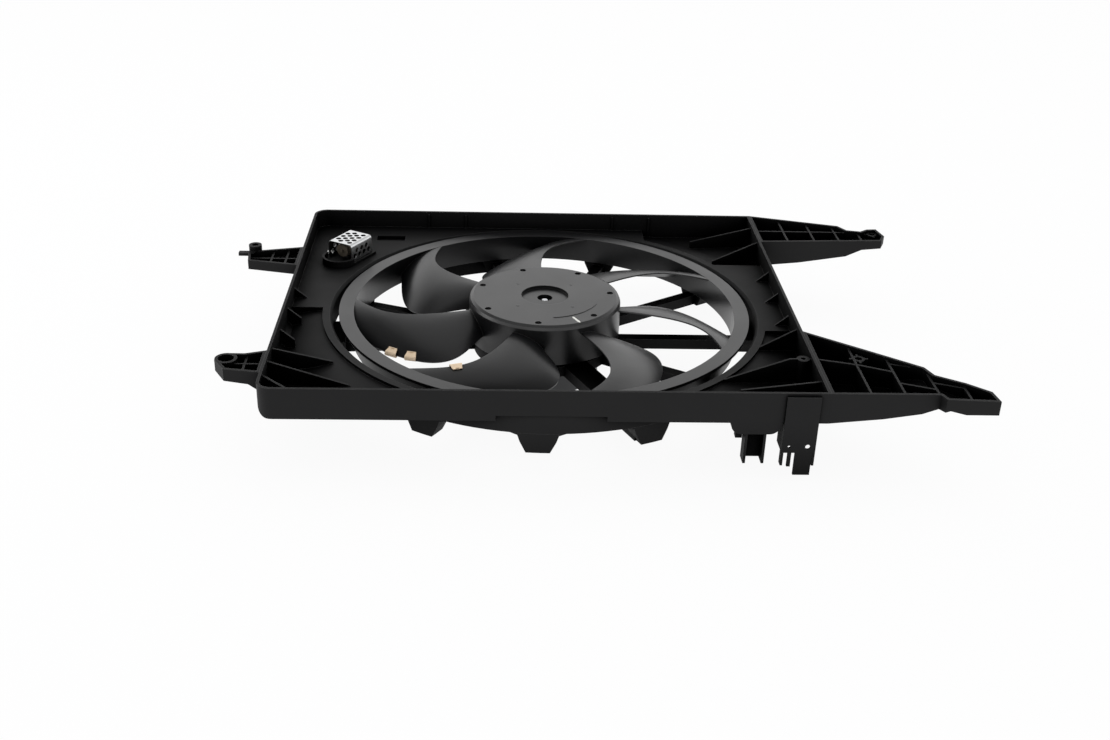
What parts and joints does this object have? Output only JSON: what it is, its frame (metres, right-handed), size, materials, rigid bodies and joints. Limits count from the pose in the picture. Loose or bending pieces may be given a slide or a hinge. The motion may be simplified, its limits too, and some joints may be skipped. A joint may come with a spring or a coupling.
{
  "type": "radiator fan shroud",
  "caption": "Black moulded radiator fan shroud with bracket arms, a turning bladed fan on an electric motor and a caged speed resistor.",
  "frame": {"origin": "on the fan axis, in the plane of the fan ring's top face", "axes": "+Z towards the radiator, +X along the long side of the tray, +Y away from the long wall that carries the cable clip"},
  "size_m": [0.656, 0.415, 0.087],
  "materials": {
    "black_plastic": "fine-grained moulded glass-filled nylon",
    "fan_plastic": "smooth moulded nylon",
    "can_steel": "dark passivated steel",
    "zinc_steel": "zinc-plated steel",
    "bronze": "sintered bronze",
    "ferrite": "pressed ferrite",
    "card_resin": "phenolic resin",
    "carbon": "pressed carbon",
    "lamination_steel": "stacked laminations",
    "copper_wire": "enamelled copper wire",
    "commutator_copper": "turned copper bars",
    "bright_steel": "ground steel",
    "spring_steel": "spring steel",
    "base_plastic": "moulded plastic",
    "cage_steel": "perforated bright sheet",
    "ceramic": "fired ceramic",
    "tan_clip": "tan passivated spring steel"
  },
  "bodies": {
    "shroud": {"shroud_tray": "black_plastic", "arm_left_back": "black_plastic", "arm_left_near": "black_plastic", "arm_right_back": "black_plastic", "arm_right_near": "black_plastic", "motor_carrier": "black_plastic", "motor_can": "can_steel", "motor_screws": "zinc_steel", "motor_end_cap": "can_steel", "front_bush": "bronze", "rear_bush": "bronze", "field_magnets": "ferrite", "brush_card": "card_resin", "brushes": "carbon", "resistor_base": "base_plastic", "resistor_screws": "zinc_steel", "resistor_cage": "cage_steel", "resistor_core": "ceramic", "resistor_terminals": "bright_steel", "cable_clip": "black_plastic", "connector_bracket": "black_plastic"},
    "rotor": {"fan_impeller": "fan_plastic", "motor_shaft": "bright_steel", "armature_core": "lamination_steel", "armature_winding": "copper_wire", "commutator": "commutator_copper", "fan_retainer": "spring_steel", "balance_clips": "tan_clip"}
  },
  "joints": [
    {"name": "fan_spin", "type": "hinge", "parent": "shroud", "child": "rotor", "pos_m": [0, 0, 0], "axis": [0, 0, 1], "continuous": true}
  ]
}
